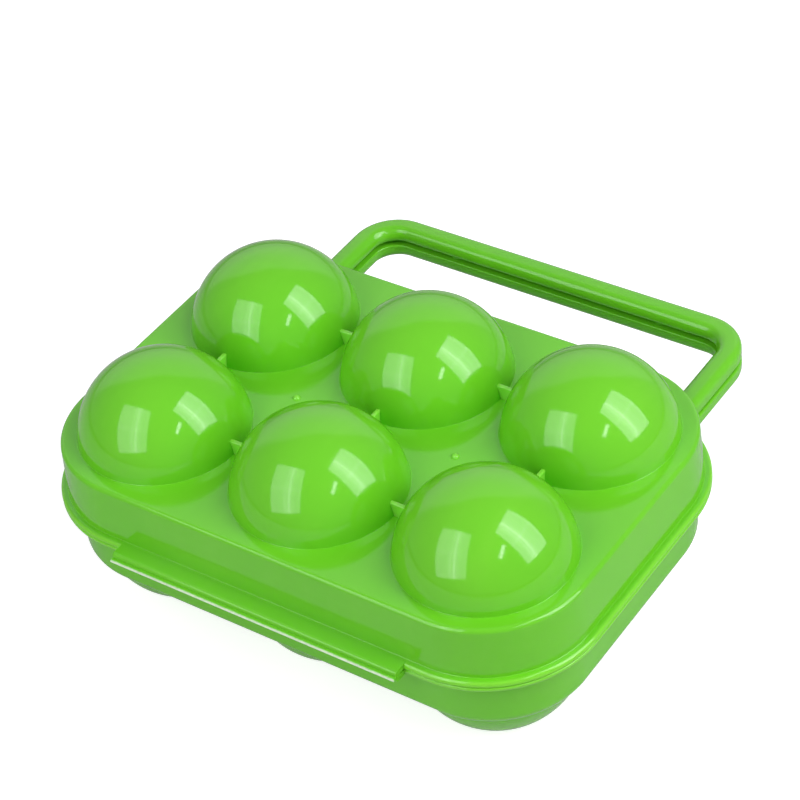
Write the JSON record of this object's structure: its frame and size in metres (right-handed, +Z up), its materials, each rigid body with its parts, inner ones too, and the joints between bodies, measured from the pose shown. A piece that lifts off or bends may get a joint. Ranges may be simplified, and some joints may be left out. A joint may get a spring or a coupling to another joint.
{
  "type": "egg carrier",
  "caption": "Hinged moulded-plastic carrier with round egg cups in the base, matching domes in the lid, a folding film hinge in front and a split carrying handle behind.",
  "frame": {"origin": "middle of the part's footprint, on the surface that the cups stand on", "axes": "+X along the hinge and the longer side, +Y from the hinge at the front to the handle at the back, +Z up from the standing surface through the domes"},
  "size_m": [0.1676, 0.1588, 0.0775],
  "materials": {
    "green_plastic": "glossy injection-moulded polypropylene, lime green, lightly translucent",
    "flexed_film": "the same plastic, stress-whitened where the film folds"
  },
  "bodies": {
    "base": {"base_tray": "green_plastic", "cup_front_left": "green_plastic", "cup_front_middle": "green_plastic", "cup_front_right": "green_plastic", "cup_rear_left": "green_plastic", "cup_rear_middle": "green_plastic", "cup_rear_right": "green_plastic", "base_handle": "green_plastic", "base_hinge_leaf": "green_plastic", "base_hinge_film": "flexed_film"},
    "lid": {"lid_tray": "green_plastic", "dome_front_left": "green_plastic", "dome_front_middle": "green_plastic", "dome_front_right": "green_plastic", "dome_rear_left": "green_plastic", "dome_rear_middle": "green_plastic", "dome_rear_right": "green_plastic", "dome_webs": "green_plastic", "lid_handle": "green_plastic", "lid_hinge_leaf": "green_plastic", "lid_hinge_film": "flexed_film"}
  },
  "joints": [
    {"name": "lid_hinge", "type": "hinge", "parent": "base", "child": "lid", "pos_m": [0, -0.07945, 0.03815], "axis": [1, 0, 0], "range_deg": [0, 178]}
  ]
}
